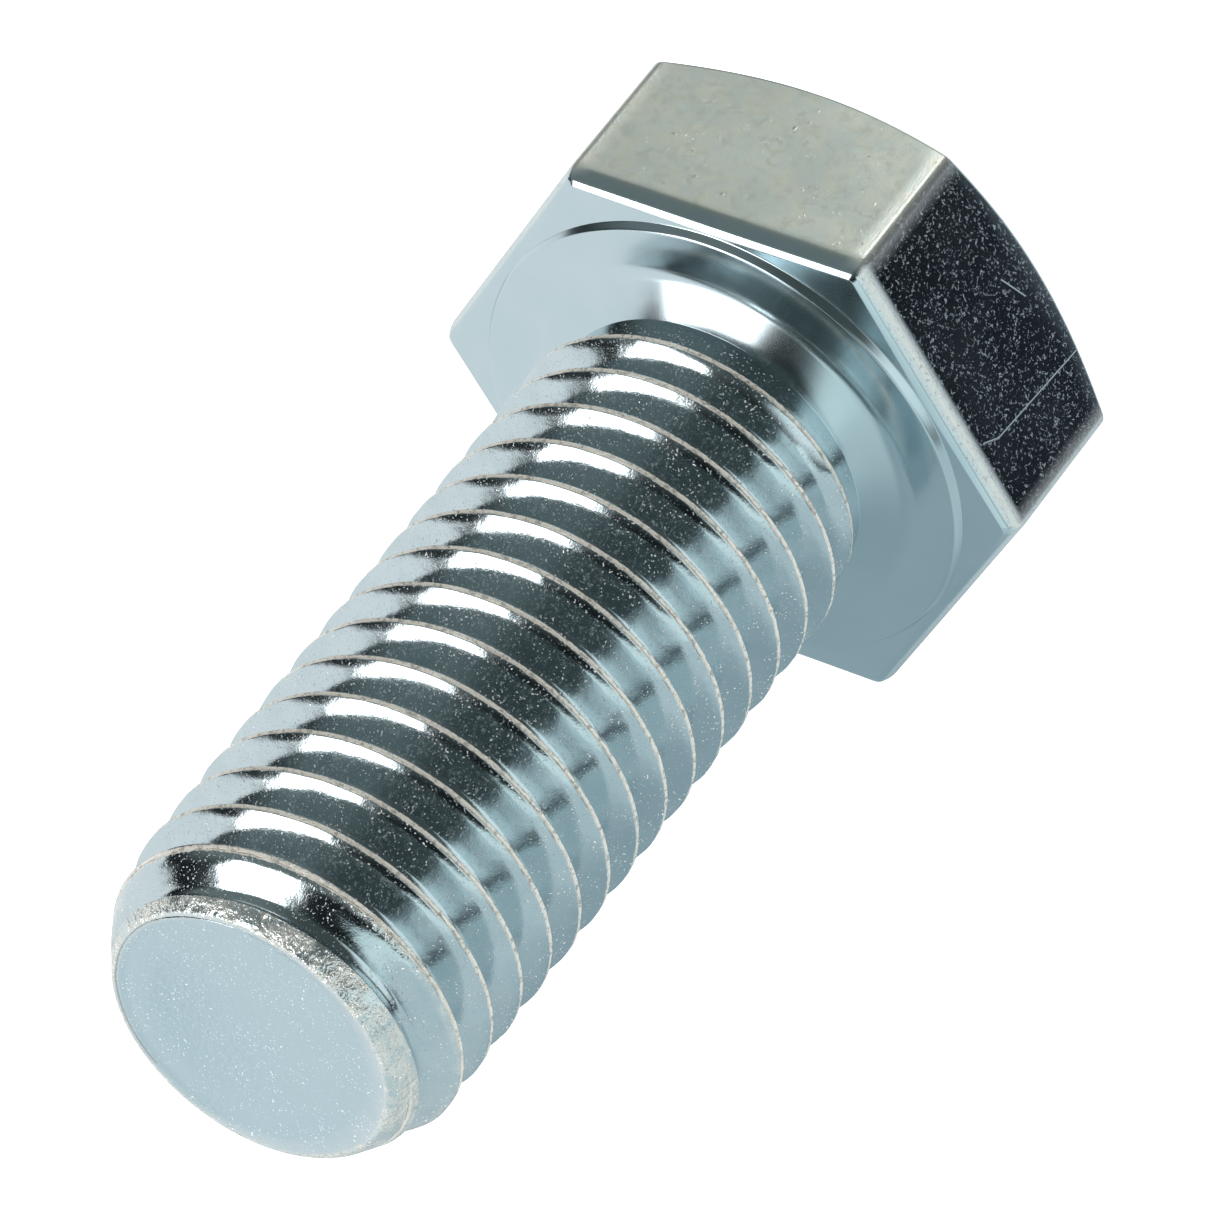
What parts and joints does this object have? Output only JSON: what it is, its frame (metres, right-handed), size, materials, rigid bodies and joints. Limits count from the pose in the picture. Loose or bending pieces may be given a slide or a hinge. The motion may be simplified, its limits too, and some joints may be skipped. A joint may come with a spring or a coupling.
{
  "type": "hex bolt",
  "caption": "Hexagon head bolt in bright zinc-plated steel, threaded to the head, with a washer face, flared neck and cupped cone point.",
  "frame": {"origin": "centre of the bearing face, on the bolt's axis", "axes": "+X along the shank from the bearing face to the point; the head fills -X; two flats of the head face +Z and -Z, and two of its corners point along +Y and -Y"},
  "size_m": [0.0475, 0.0272, 0.0236],
  "materials": {
    "zinc_plated_steel": "bright zinc plate with a clear pale blue passivate"
  },
  "bodies": {
    "root": {"hex_head": "zinc_plated_steel", "washer_face": "zinc_plated_steel", "neck": "zinc_plated_steel", "thread": "zinc_plated_steel", "point": "zinc_plated_steel"}
  },
  "joints": []
}
